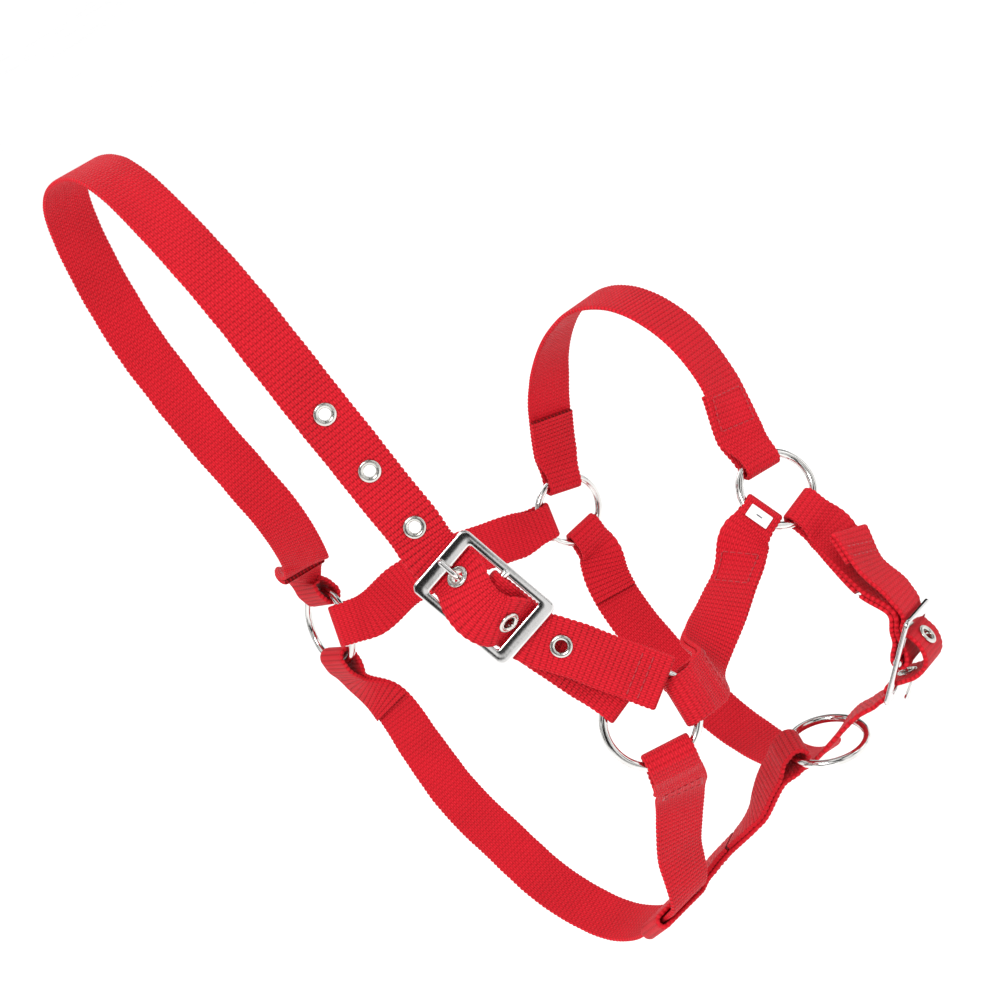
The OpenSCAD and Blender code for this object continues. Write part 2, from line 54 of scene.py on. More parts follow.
# ---------------------------------------------------------------- sizes, mm
WEB_W, WEB_T = 25.0, 2.4          # tape width and the thickness of one ply
GATHER_CHEEK, GATHER_NOSE = 23.0, 19.6
WIRE = 4.0
CHEEK_R, NOSE_R, LEAD_R = 21.0, 18.5, 19.4
FRAME_W, RAIL_W, END_BAR, FRAME_T = 35.0, 4.0, 7.0, 2.4
CROWN_FRAME_L, CHIN_FRAME_L = 53.0, 46.0
BAR_D, TONGUE_D = 4.0, 2.5
EYELET_OD, EYELET_BORE, EYELET_PITCH = 10.2, 5.4, 31.0
LABEL_L, LABEL_W = 12.0, 7.0
GAP = 0.3
PLY = WEB_T / 2 + 0.05
FOLD_R = WIRE / 2 + GAP + WEB_T / 2 + 0.3
BAR_FOLD_R = BAR_D / 2 + GAP + WEB_T / 2
WRAP_R = WEB_T + GAP + 0.3
RIB = 2.55                        # distance between two ribs of the weave
RIB_STEPS = 5                     # stations to each rib
YARN = 1.05                       # distance between two yarns across the tape
RIB_RISE = 0.28                   # height of a rib above the groove beside it
SCALLOP, SCALLOP_IN = 0.70, 0.60  # height of an edge scallop, and how far its groove lies inside
DRIFT, DRIFT_STEP = 0.10, 8.0     # slow wander of each edge, and the distance between its knots
EDGE_R = 1.25                     # rounding of the tape's two edges
LEAD_NECK = 10.2                  # half width of the chin strap where it passes the lead ring
NECK_FLAT, NECK_EASE = 10, 16     # half length of that neck, and of the widening past it
OPEN_OUT, WIDEN = 11, 13          # distances in which a fold closes up and gains its full width
STITCH = 3.1                      # about the distance from one stitch to the next
STITCH_RISE, STITCH_SUNK = 0.42, 0.22
PUNCH_CLEAR, PUNCH_REACH = 0.75, 3.2    # room round an eyelet's bore, and half the punch's length
EYELET_DOME, EYELET_BACK = 0.85, 0.62   # height of the rolled rim in front and behind
EYELET_WALL = 0.9
WELD_SWELL = 0.10                 # swelling beside a ring's weld, and depth of its seam
FRAME_CORNER, WINDOW_CORNER = 3.5, 1.2  # corner radii outside and inside a buckle's frame
LABEL_T, RULE_L, RULE_W, RULE_T = 0.4, 3.2, 0.7, 0.12
FLOOR_DROP = 0.30                 # metres from the lowest point down to the floor


# ---------------------------------------------------------------- vectors
def vec(*v):
    return np.array(v, float)


def unit(v):
    v = np.asarray(v, float)
    return v / np.linalg.norm(v, axis=-1, keepdims=True)


def mix(a, b, t):
    return a + (b - a) * t


def ease(t):
    """Smooth step from 0 to 1."""
    c = np.clip(t, 0, 1)
    return c * c * (3 - 2 * c)


def flat(v, n):
    """The unit direction of v with its part along n taken away."""
    v = np.asarray(v, float)
    return unit(v - np.sum(v * n, axis=-1, keepdims=True) * n)


def row(p, w):
    """One point of a route with the direction of the tape's width there."""
    return np.concatenate([np.asarray(p, float), np.asarray(w, float)])


def bend(a, b, c):
    """Slope of the spline at b, between its neighbours a and c."""
    u, v = np.linalg.norm(b[:3] - a[:3]), np.linalg.norm(c[:3] - b[:3])
    return (b - a) / u - (c - a) / (u + v) + (c - b) / v


def curve(rows, step):
    """The same spaced spline as the CAD's, sampled about every step mm."""
    q = [2 * rows[0] - rows[1], *rows, 2 * rows[-1] - rows[-2]]
    out = []
    for i in range(len(rows) - 1):
        a, b = q[i + 1], q[i + 2]
        d = np.linalg.norm(b[:3] - a[:3])
        k = max(2, math.ceil(d / step))
        m0, m1 = bend(q[i], a, b) * d, bend(a, b, q[i + 3]) * d
        for j in range(k):
            t = j / k
            out.append(a * (2 * t**3 - 3 * t**2 + 1) + m0 * (t**3 - 2 * t**2 + t)
                       + b * (3 * t**2 - 2 * t**3) + m1 * (t**3 - t**2))
    out.append(rows[-1])
    return np.array(out)


class Run:
    """The middle line of a strap, with its tangent, width and outward directions."""

    def __init__(self, rows, side):
        r = curve(rows, 1.0)
        self.p, self.side = r[:, :3], side
        nxt = np.vstack([self.p[1:], self.p[-1:]])
        prv = np.vstack([self.p[:1], self.p[:-1]])
        self.t = unit(nxt - prv)
        self.w = flat(r[:, 3:], self.t)
        gaps = np.linalg.norm(np.diff(self.p, axis=0), axis=1)
        self.l = np.concatenate([[0], np.cumsum(gaps)])
        self.length = self.l[-1]

    def seat(self, s):
        """Places and directions at distances s. Past an end the line runs on straight."""
        s = np.atleast_1d(np.asarray(s, float))

        def pick(a):
            return np.stack([np.interp(s, self.l, a[:, k]) for k in range(3)], axis=1)

        over = np.where(s < 0, s, np.where(s > self.length, s - self.length, 0.0))
        t = unit(pick(self.t))
        w = flat(pick(self.w), t)
        return pick(self.p) + t * over[:, None], t, w, self.side * np.cross(t, w)

    def one(self, s):
        """The same at a single distance."""
        return [x[0] for x in self.seat(s)]

    def along(self, p):
        """Distance along the line at which p lies."""
        i = int(np.argmin(np.linalg.norm(self.p - p, axis=1)))
        return self.l[i] + float((p - self.p[i]) @ self.t[i])

    def nearest(self, p):
        """Distance of the sample nearest to p."""
        return self.l[int(np.argmin(np.linalg.norm(self.p - p, axis=1)))]


# ---------------------------------------------------------------- rings and buckles
class Ring:
    """A wire ring: centre, axis and the radius of the wire's middle line."""

    def __init__(self, centre, axis, r):
        self.c, self.n, self.r = vec(*centre), unit(vec(*axis)), r


ring_a = Ring((4, 144, 6), (0.88, 0.05, -0.30), CHEEK_R)
ring_b = Ring((-7, -145, -11), (-0.39, -0.87, 0.30), CHEEK_R)
ring_c = Ring((133, 78, -6), (-0.15, -0.98, 0.03), NOSE_R)
ring_d = Ring((141, -97, 6), (-0.11, -0.87, 0.48), NOSE_R)
ring_e = Ring((87, -113, -104), (0.15, -0.20, 0.97), LEAD_R)


def sag(r, w):
    """How far a ring of radius r curves away across a tape of width w."""
    return r - math.sqrt(r * r - w * w / 4)


def leave(ring, w, hint, nxt, tilt=0):
    """First points of a tape of width w that leaves a ring towards hint, tilted off its plane."""
    n, d = ring.n, flat(vec(*hint), ring.n)
    c = np.cross(n, d)
    s = -1 if c @ vec(*nxt) < 0 else 1
    ct, st = math.cos(math.radians(tilt)), math.sin(math.radians(tilt))
    b = sag(ring.r, w) * st / 2
    go = ct * d + st * n
    p = ring.c + ring.r * d + b * (ct * n - st * d)
    return [row(p, s * c), row(p + 5 * go, s * c), row(p + 10 * go, s * c)]


def back(rows):
    return rows[::-1]


class Fold:
    """The end of a tape: half opening, distance behind, straight reach, lap, half width inside."""

    def __init__(self, half, behind, reach, lap, inside):
        self.half, self.behind, self.reach, self.lap, self.inside = half, behind, reach, lap, inside

    def with_lap(self, lap):
        return Fold(self.half, self.behind, self.reach, lap, self.inside)

    def opening(self, s):
        """Half the gap between the middles of the two plies."""
        return PLY + (self.half - PLY) * (1 - ease((s - self.reach) / OPEN_OUT))

    def half_w(self, s):
        """Half the tape's width, gathered inside the fold."""
        return mix(self.inside, WEB_W / 2, ease((s - self.reach) / WIDEN))

    def path(self):
        """[distance, height, half width] along the lap, round the turn and away."""
        step = 0.8
        side = np.arange(self.lap, self.reach, -step)
        turn = np.radians(np.linspace(0, 180, 25))
        away = np.arange(self.reach, self.reach + WIDEN + 1, step)
        return np.vstack([
            np.stack([side, -self.opening(side), self.half_w(side)], axis=1),
            np.stack([-self.behind - self.half * np.sin(turn), -self.half * np.cos(turn),
                      np.full(len(turn), self.inside)], axis=1),
            np.stack([away, self.opening(away), self.half_w(away)], axis=1)])


def ring_fold(r, w, lap, tilt=0):
    """A fold round the wire of a ring of radius r."""
    st, ct = abs(math.sin(math.radians(tilt))), math.cos(math.radians(tilt))
    return Fold(FOLD_R + sag(r, w) * st / 2, max(0, sag(r, w) * ct) + 0.3, 1.5, lap, w / 2)


class Buckle:
    """A buckle's own axes: x along the strap, y across it and z outward."""

    def __init__(self, o, x, z):
        self.o, self.x = vec(*o), unit(vec(*x))
        self.z = flat(vec(*z), self.x)
        self.y = np.cross(self.z, self.x)

    def at(self, x, y, z):
        return self.o + x * self.x + y * self.y + z * self.z


crown_b = Buckle((-33, -118, 73), (0.19, -0.34, -0.92), (-0.48, -0.85, 0.21))
chin_b = Buckle((130, -145, -80), (0.45, -0.40, 0.80), (0.26, -0.80, -0.54))


def crown_row(x, y, z, turn=0):
    a = math.radians(turn)
    return row(crown_b.at(x, y, z - PLY), math.cos(a) * crown_b.y - math.sin(a) * crown_b.x)


def chin_row(x, y, z):
    return row(chin_b.at(x, y, z - PLY), -chin_b.y)


# ---------------------------------------------------------------- routes, as in the CAD
crown_run = Run([
    *leave(ring_a, GATHER_CHEEK, (0.31, 0.12, 0.94), (0.5, -0.8, 0.2), -35),
    row((-2, 110, 55), (0.55, -0.8, 0.2)),
    row((-9, 90, 88), (0.85, -0.5, 0.1)),
    row((-17, 92, 149), (0.87, -0.48, 0.1)),
    row((-20, 97, 221), (0.97, -0.24, 0)),
    row((-25, 62, 287), (1, -0.1, 0)),
    row((-31, -5, 296), (1, -0.06, -0.1)),
    row((-39, -62, 248), (0.99, -0.15, 0)),
    row((-39, -86, 179), (0.91, -0.38, 0.09)),
    crown_row(-68, 8, -4),
    crown_row(-42, 3, -3.6),
    crown_row(-29, 0, -2.9),
    crown_row(-23, 0, -2.85),
    crown_row(-20.5, 0, -2.85),
    crown_row(-18.9, 0, -2.7),
    crown_row(-16.3, 0, -1.1),
    crown_row(-12, -0.5, 3),
    crown_row(-5, -3.8, 7.6),
    crown_row(2, -5, 8.6),
    crown_row(8.4, -3.8, 7.2),
    crown_row(13, -0.7, 3.6),
    crown_row(16.3, 0, -1.1),
    crown_row(18.9, 0, -2.7),
    crown_row(20.5, 0, -2.85),
    crown_row(23, 0, -2.85),
    crown_row(27, 0.3, -2.85, 3),
    crown_row(31, 1.6, -2.4, 12),
    crown_row(38, 5, -1.4, 19),
    crown_row(60, 13.4, 0.4, 20),
    crown_row(82, 21.5, 1.2, 20)], 1)

billet_run = Run([
    row(crown_b.o, crown_b.y),
    row(crown_b.at(7, 0, -1.8), crown_b.y),
    row(crown_b.at(13, 0, -4.6), crown_b.y),
    row(crown_b.at(20, 0, -7), crown_b.y),
    row(crown_b.at(28, 0.4, -7.4), crown_b.y),
    row(crown_b.at(45, 2, -8), crown_b.y),
    *back(leave(ring_b, GATHER_CHEEK, (-0.23, 0.41, 0.88), crown_b.y, 0))], 1)

left_cheek_run = Run([
    *leave(ring_a, GATHER_CHEEK, (0.09, -0.985, 0.14), (0.4, 0.2, 0.9), 40),
    row((40, 110, 10), (0.46, 0.36, 0.81)),
    row((64, 99, 9), (0.42, 0.38, 0.83)),
    row((90, 86, 3), (0.36, 0.37, 0.86)),
    *back(leave(ring_c, GATHER_NOSE, (-0.93, 0.30, 0.15), (0.1, 0.1, 1), 0))], -1)

right_cheek_run = Run([
    *leave(ring_d, GATHER_NOSE, (-0.97, 0, -0.24), (0.1, 0.5, 0.9), 0),
    row((101, -98, -10), (-0.15, 0.92, 0.35)),
    row((78, -103, -18), (-0.2, 0.88, 0.42)),
    row((50, -116, -21), (-0.1, 0.5, 0.85)),
    *back(leave(ring_b, GATHER_CHEEK, (0.91, -0.41, 0), (0.1, 0.2, 1), -35))], -1)

nose_run = Run([
    *leave(ring_c, GATHER_NOSE, (0.30, -0.10, 0.95), (1, -0.2, -0.2), 0),
    row((149, 60, 61), (0.95, -0.25, -0.2)),
    row((151, 42, 82), (0.99, -0.05, -0.13)),
    row((153, 19, 99), (1, 0, -0.05)),
    row((155, -8, 109), (1, 0, -0.07)),
    row((156, -39, 106), (0.98, 0.1, -0.13)),
    row((156, -63, 89), (0.97, 0.15, -0.12)),
    row((154, -76, 60), (0.97, 0.17, -0.1)),
    *back(leave(ring_d, GATHER_NOSE, (0.18, 0.44, 0.88), (1, -0.2, -0.2), 0))], 1)

wrap_p, wrap_w = vec(-6, -66, -140), vec(1, 0, 0)
wrap_t = unit(vec(0, -0.86, 0.50))
wrap_n = -np.cross(wrap_t, wrap_w)
throat_run = Run([
    *leave(ring_a, GATHER_CHEEK, (-0.22, -0.09, -0.97), (0.4, -0.8, 0.4), 20),
    row((4, 131, -46), (0.6, -0.75, 0.2)),
    row((1, 118, -71), (0.8, -0.55, 0.2)),
    row((-5, 96, -98), (0.92, -0.35, 0.15)),
    row((-9, 67, -119), (0.95, -0.25, 0.15)),
    row((-11, 28, -147), (0.98, -0.15, 0.15)),
    row((-8, -10, -160), (0.99, 0, 0.1)),
    row((-6, -34, -156), (1, 0, 0.03)),
    *[row(wrap_p + d * wrap_t - PLY * wrap_n, wrap_w) for d in (-20, -14, -7, 0, 7, 14, 20)],
    row((-4, -99, -96), (0.97, -0.15, -0.18)),
    row((1, -116, -66), (0.92, -0.3, -0.25)),
    *back(leave(ring_b, GATHER_CHEEK, (-0.20, -0.24, -0.95), (0.9, -0.4, -0.2), -40))], -1)

chin_run = Run([
    *leave(ring_c, GATHER_NOSE, (0.10, 0, -1), (1, -0.2, 0), 0),
    row((129, 71, -49), (0.95, -0.3, 0.08)),
    row((119, 42, -94), (0.92, -0.37, 0.1)),
    row((113, 0, -130), (0.98, -0.15, 0.03)),
    row((105.5, -45, -138), (0.96, -0.15, -0.2)),
    row((97.5, -80, -126), (0.96, 0, -0.2)),
    row((90, -113, -105), (0.96, 0.26, -0.1)),
    row((103, -124, -96.5), (0.65, 0.70, -0.32)),
    row((112, -129, -96), (0.75, 0.60, -0.30)),
    chin_row(-19.5, 0, -2.85),
    chin_row(-17, 0, -2.85),
    chin_row(-15.4, 0, -2.6),
    chin_row(-13, 0, -0.9),
    chin_row(-9, 0, 4.4),
    chin_row(-4, 0, 9.8),
    chin_row(3, 0, 12.2),
    chin_row(9.4, 0, 8.4),
    chin_row(12.4, 0, 2.4),
    chin_row(14, 0, -1.4),
    chin_row(15.8, 0, -2.75),
    chin_row(17.4, 0, -2.85),
    chin_row(20, 0, -2.85),
    row((139.2, -147, -52), (0.88, 0.38, -0.28)),
    row((139.9, -135.4, -37), (0.87, 0.38, -0.29)),
    row((145.4, -126.5, -22.5), (0.92, 0.20, -0.28))], -1)

chin_billet_run = Run([
    row(chin_b.o, -chin_b.y),
    row(chin_b.at(7, 0, -2.2), -chin_b.y),
    row(chin_b.at(13, 0, -5.7), -chin_b.y),
    row(chin_b.at(20, 0, -7.9), -chin_b.y),
    row((137.2, -133.6, -47.5), (0.87, 0.38, -0.30)),
    *back(leave(ring_d, GATHER_NOSE, (0.16, -0.49, -0.86), (1, -0.2, -0.1), 0))], -1)

link_run = Run([
    row(wrap_p, wrap_t),
    row(wrap_p + vec(15, 0, 0), wrap_t),
    row(wrap_p + vec(28, -3.5, 4), (0, -0.80, 0.45)),
    row((46, -87, -122), (-0.1, -0.85, 0.40)),
    *back(leave(ring_e, 21, (-0.85, 0.48, 0.23), (-0.2, -0.9, 0.2), -38))], 1)


# ---------------------------------------------------------------- tapes
def tape_path(run, f0, f1):
    """[distance, height, half width] along a tape that is folded back at both ends."""
    a = f0.path()
    b = f1.path()[::-1].copy()
    b[:, 0] = run.length - b[:, 0]
    mid = np.arange(a[-1, 0] + 1, b[0, 0], 1.0)
    mid = np.stack([mid, np.full(len(mid), PLY), np.full(len(mid), WEB_W / 2)], axis=1)
    return np.vstack([a, mid, b])


def closed_path(run, f0, f1, share=0.5):
    """The same for a double tape: both laps run back until they nearly meet."""
    lap = run.length - 2
    return tape_path(run, f0.with_lap(lap * share), f1.with_lap(lap * (1 - share)))


cheek_fold = ring_fold(CHEEK_R, GATHER_CHEEK, 38)
nose_fold = ring_fold(NOSE_R, GATHER_NOSE, 38)
hem = Fold(PLY, 0, 0, 14, WEB_W / 2)
bar_fold = Fold(BAR_FOLD_R, 0, 1, 30, WEB_W / 2)
wrap_fold = Fold(WRAP_R, WEB_W / 2 + 1, WEB_W / 2, 0, WEB_W / 2)

lead_s = chin_run.nearest(ring_e.c + vec(3, 0, -1))
chin_path = tape_path(chin_run, nose_fold, hem)
outer = chin_path[:, 1] > 0
chin_path[outer, 2] = np.minimum(
    chin_path[outer, 2],
    mix(LEAD_NECK, WEB_W / 2,
        ease((np.abs(chin_path[outer, 0] - lead_s) - NECK_FLAT) / NECK_EASE)))

crown_s = crown_run.along(crown_b.at(-14, 0, 1.5))
crown_holes = [(crown_s + k * EYELET_PITCH, 0.6 if k < 0 else 0.0) for k in range(-3, 3)]
chin_s = chin_run.along(chin_b.at(-10.6, 0, 3))
chin_holes = [(chin_s, 0.0), (chin_s + 25, 0.0)]


def ridge(x):
    """Round top of a rib, with a narrow groove where two ribs meet."""
    f = 2 * (x - np.floor(x)) - 1
    return np.sqrt(np.clip(1 - f * f, 0, 1))


ACROSS = np.array([-0.93, -0.78, -0.6, -0.4, -0.2, 0, 0.2, 0.4, 0.6, 0.78, 0.93])
EDGE = np.radians([62, 30, 0, -30, -62])
EDGE_FULL = 1.02                  # how much fuller the edges are than the faces


def grow_tape(run, path, seed):
    """Vertices, faces and vertex attributes of one woven tape, with its ribs and scallops."""
    rng = np.random.default_rng(seed)
    p, _, _, n = run.seat(path[:, 0])
    c = p + n * path[:, 1:2]
    u = np.concatenate([[0], np.cumsum(np.linalg.norm(np.diff(c, axis=0), axis=1))])
    count = int(u[-1] / (RIB / RIB_STEPS))
    at = np.linspace(0, u[-1], count)
    s, h, hw = (np.interp(at, u, path[:, k]) for k in range(3))
    p, _, w, n = run.seat(s)
    c = p + n * h[:, None]
    g = unit(np.gradient(c, axis=0))
    w = flat(w, g)
    n = run.side * np.cross(g, w)
    phase = at / RIB
    knots = np.arange(0, u[-1] + 2 * DRIFT_STEP, DRIFT_STEP)
    drift = np.interp(at, knots, rng.normal(0, 1, len(knots)))
    rib = ridge(phase)
    half_t = (WEB_T / 2 - RIB_RISE) + RIB_RISE * rib
    left = hw - SCALLOP_IN + SCALLOP * ridge(phase + 0.5) + DRIFT * drift
    right = hw - SCALLOP_IN + SCALLOP * ridge(phase) - DRIFT * drift
    # rib level on the edges, kept lighter than on the faces; it goes only into the rib attribute
    # that paints shade in the grooves
    edge_shade_level = rib * 0.7 + 0.3
    cols, across, ribs = [], [], []

    def put(v, y, level):
        cols.append(c + w * v[:, None] + n * y[:, None])
        across.append(v)
        ribs.append(level)

    def put_face(columns, y):
        for k in columns:
            half = left if k < 0 else right
            put(k * (half - EDGE_R) / ACROSS[-1], y, rib)

    def put_edge(angles, half, way):
        for a in angles:
            v = way * (half - EDGE_R + EDGE_R * math.cos(a))
            put(v, half_t * math.sin(a) * EDGE_FULL, edge_shade_level)

    put_face(ACROSS, half_t)
    put_edge(EDGE, right, 1)
    put_face(ACROSS[::-1], -half_t)
    put_edge(EDGE[::-1], left, -1)
    m = len(cols)
    verts = np.stack(cols, axis=1).reshape(-1, 3)
    i = np.arange(count - 1)[:, None] * m
    j = np.arange(m)[None, :]
    k = (j + 1) % m
    quads = np.stack([i + j, i + k, i + k + m, i + j + m], axis=-1).reshape(-1, 4)
    first, last = list(range(m)), list(range((count - 1) * m, count * m))
    if run.side < 0:
        quads, first = quads[:, ::-1], first[::-1]
    else:
        last = last[::-1]
    # the rib attribute holds the rib height, which the webbing colour reads to paint shade in the
    # grooves
    data = {"along": np.repeat(at, m), "across": np.stack(across, axis=1).ravel(),
            "rib": np.stack(ribs, axis=1).ravel()}
    return verts, quads.tolist() + [first, last], data


# ---------------------------------------------------------------- mesh helpers
def make(name, verts, faces, data=None, material=None, body="webbing", smooth=True):
    """A mesh object from millimetres, with its point attributes, riding on a body."""
    me = bpy.data.meshes.new(name)
    me.from_pydata((np.asarray(verts) * MM).tolist(), [], [list(f) for f in faces])
    me.update()
    for key, values in (data or {}).items():
        me.attributes.new(key, "FLOAT", "POINT").data.foreach_set(
            "value", np.asarray(values, np.float32))
    if smooth:
        me.shade_smooth()
    o = bpy.data.objects.new(name, me)
    bpy.context.scene.collection.objects.link(o)
    if material:
        me.materials.append(material)
    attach(o, body)
    return o


def join(parts):
    """Several (verts, faces) as one."""
    verts, faces, n = [], [], 0
    for v, f in parts:
        verts.append(np.asarray(v, float))
        faces += [[x + n for x in q] for q in f]
        n += len(v)
    return np.vstack(verts), faces


def tube(points, radii, sides=20, closed=False, up=None):
    """A round bar along points. up steadies its turn about its own line."""
    p = np.asarray(points, float)
    r = np.broadcast_to(np.asarray(radii, float), (len(p),))
    if closed:
        g = unit(np.roll(p, -1, axis=0) - np.roll(p, 1, axis=0))
    else:
        g = unit(np.gradient(p, axis=0))
    ref = up if up is not None else vec(0.31, 0.52, 0.79)
    a = flat(np.broadcast_to(ref, g.shape), g)
    for i in range(1, len(p)):
        if up is None:
            a[i] = flat(a[i - 1], g[i])
    b = np.cross(g, a)
    ang = np.linspace(0, 2 * math.pi, sides, endpoint=False)
    out = np.cos(ang)[None, :, None] * a[:, None] + np.sin(ang)[None, :, None] * b[:, None]
    v = (p[:, None] + r[:, None, None] * out).reshape(-1, 3)
    n, faces = len(p), []
    for i in range(n if closed else n - 1):
        for j in range(sides):
            k, q = (j + 1) % sides, (i + 1) % n
            faces.append([i * sides + j, i * sides + k, q * sides + k, q * sides + j])
    if not closed:
        faces += [list(range(sides))[::-1], [(n - 1) * sides + j for j in range(sides)]]
    return v, faces


def lathe(profile, centre, axis, hint, sides=48):
    """A closed profile of (radius, height) turned round an axis."""
    x = flat(hint, axis)
    y = np.cross(axis, x)
    ang = np.linspace(0, 2 * math.pi, sides, endpoint=False)
    v = []
    for a in ang:
        d = math.cos(a) * x + math.sin(a) * y
        v += [centre + r * d + z * axis for r, z in profile]
    m, faces = len(profile), []
    for i in range(sides):
        for j in range(m):
            k, q = (j + 1) % m, (i + 1) % sides
            faces.append([i * m + j, q * m + j, q * m + k, i * m + k])
    return np.array(v), faces


# ---------------------------------------------------------------- materials
class Nodes:
    """A short way to build node trees."""

    def __init__(self, name):
        self.m = bpy.data.materials.new(name)
        self.m.use_nodes = True
        self.t = self.m.node_tree
        self.bsdf = self.t.nodes["Principled BSDF"]

    def put(self, kind, **props):
        n = self.t.nodes.new(kind)
        for k, v in props.items():
            setattr(n, k, v)
        return n

    def link(self, a, b):
        self.t.links.new(a, b)

    def math(self, op, a, b=None):
        n = self.put("ShaderNodeMath", operation=op)
        for i, x in enumerate((a, b)):
            if x is None:
                continue
            if isinstance(x, (int, float)):
                n.inputs[i].default_value = x
            else:
                self.link(x, n.inputs[i])
        return n.outputs[0]

    def attr(self, name):
        return self.put("ShaderNodeAttribute", attribute_name=name).outputs["Fac"]

    def noise(self, vector, scale, detail=3.0):
        n = self.put("ShaderNodeTexNoise")
        n.inputs["Scale"].default_value = scale
        n.inputs["Detail"].default_value = detail
        self.link(vector, n.inputs["Vector"])
        return n.outputs["Fac"]

    def ramp(self, fac, *stops):
        n = self.put("ShaderNodeValToRGB")
        while len(n.color_ramp.elements) < len(stops):
            n.color_ramp.elements.new(0.5)
        for e, (pos, col) in zip(n.color_ramp.elements, stops):
            e.position, e.color = pos, (*col, 1)
        self.link(fac, n.inputs["Fac"])
        return n.outputs["Color"]

    def bump(self, height, strength, distance):
        n = self.put("ShaderNodeBump")
        n.inputs["Strength"].default_value = strength
        n.inputs["Distance"].default_value = distance
        self.link(height, n.inputs["Height"])
        self.link(n.outputs["Normal"], self.bsdf.inputs["Normal"])

    def set(self, **values):
        for k, v in values.items():
            self.bsdf.inputs[k.replace("_", " ")].default_value = v


def webbing_material():
    """Red nylon: warp yarns in columns, each second column half a rib further on. Painted shade
    darkens the colour in the gaps between yarns and the grooves between ribs.
    """
    n = Nodes("webbing_red_nylon")
    place = n.put("ShaderNodeTexCoord").outputs["Object"]
    along, across, rib = n.attr("along"), n.attr("across"), n.attr("rib")
    column = n.math("MULTIPLY", across, 1 / YARN)
    parity = n.math("FLOOR", n.math("MODULO", n.math("ADD", column, 100.0), 2.0))
    odd = n.math("MULTIPLY", parity, 0.5)
    shift = n.math("ADD", n.math("MULTIPLY", along, 1 / RIB), odd)
    warp = n.math("ABSOLUTE", n.math("SINE", n.math("MULTIPLY", column, math.pi)))
    over = n.math("ABSOLUTE", n.math("SINE", n.math("MULTIPLY", shift, math.pi)))
    weave = n.math("MULTIPLY", n.math("POWER", warp, 0.5), n.math("POWER", over, 0.6))
    fibre = n.noise(place, 2600.0, 2.0)
    tall = n.math("ADD", n.math("MULTIPLY", weave, 0.8), n.math("MULTIPLY", fibre, 0.25))
    wide = n.noise(place, 38.0, 3.0)
    # painted shade: the weave's yarn gaps and the low rib level in the grooves pull the colour down
    # to the dark lowest stop; the wide noise varies the tone at random
    fac = n.math("ADD", n.math("MULTIPLY", weave, 0.34),
                 n.math("ADD", n.math("MULTIPLY", rib, 0.42), n.math("MULTIPLY", wide, 0.3)))
    n.link(n.ramp(fac, (0.20, (0.12, 0.001, 0.002)), (0.50, (0.44, 0.003, 0.009)),
                  (0.95, (0.68, 0.009, 0.023))), n.bsdf.inputs["Base Color"])
    rough = n.math("ADD", 0.5, n.math("MULTIPLY", wide, 0.22))
    n.link(rough, n.bsdf.inputs["Roughness"])
    n.bump(tall, 0.9, 0.0005)
    n.set(Sheen_Weight=0.03, Sheen_Roughness=0.4, Specular_IOR_Level=0.16)
    n.bsdf.inputs["Sheen Tint"].default_value = (1.0, 0.55, 0.55, 1)
    return n.m


def thread_material():
    n = Nodes("thread_red")
    place = n.put("ShaderNodeTexCoord").outputs["Object"]
    twist = n.noise(place, 1500.0, 2.0)
    n.link(n.ramp(twist, (0.3, (0.30, 0.003, 0.008)), (0.7, (0.52, 0.007, 0.018))),
           n.bsdf.inputs["Base Color"])
    n.link(n.math("ADD", 0.45, n.math("MULTIPLY", twist, 0.2)), n.bsdf.inputs["Roughness"])
    n.bump(twist, 0.6, 0.0002)
    n.set(Sheen_Weight=0.2)
    return n.m


def metal_material(name, colour, worn, rough):
    n = Nodes(name)
    place = n.put("ShaderNodeTexCoord").outputs["Object"]
    spots, fine = n.noise(place, 90.0, 4.0), n.noise(place, 900.0, 2.0)
    n.link(n.ramp(spots, (0.3, worn), (0.62, colour)), n.bsdf.inputs["Base Color"])
    n.link(n.math("ADD", rough, n.math("MULTIPLY", spots, 0.07)), n.bsdf.inputs["Roughness"])
    waves = n.math("ADD", n.math("MULTIPLY", spots, 0.8), n.math("MULTIPLY", fine, 0.2))
    n.bump(waves, 0.06, 0.0004)
    n.set(Metallic=1.0)
    return n.m


def label_material(name, light, dark, rough):
    n = Nodes(name)
    place = n.put("ShaderNodeTexCoord").outputs["Object"]
    fine = n.noise(place, 1800.0, 2.0)
    n.link(n.ramp(fine, (0.3, dark), (0.7, light)), n.bsdf.inputs["Base Color"])
    n.link(n.math("ADD", rough, n.math("MULTIPLY", fine, 0.15)), n.bsdf.inputs["Roughness"])
    n.bump(fine, 0.4, 0.0001)
    return n.m


web_mat, thread_mat = webbing_material(), thread_material()
ring_mat = metal_material("ring_bright_nickel", (0.80, 0.79, 0.77), (0.66, 0.65, 0.63), 0.07)
buckle_mat = metal_material("buckle_bright_nickel", (0.80, 0.79, 0.78), (0.68, 0.67, 0.66), 0.06)
eyelet_mat = metal_material("eyelet_nickel", (0.74, 0.73, 0.69), (0.58, 0.57, 0.53), 0.14)
label_mat = label_material("label_white_satin", (0.90, 0.90, 0.92), (0.78, 0.78, 0.80), 0.45)
rule_mat = label_material("label_grey_thread", (0.16, 0.16, 0.17), (0.10, 0.10, 0.11), 0.5)


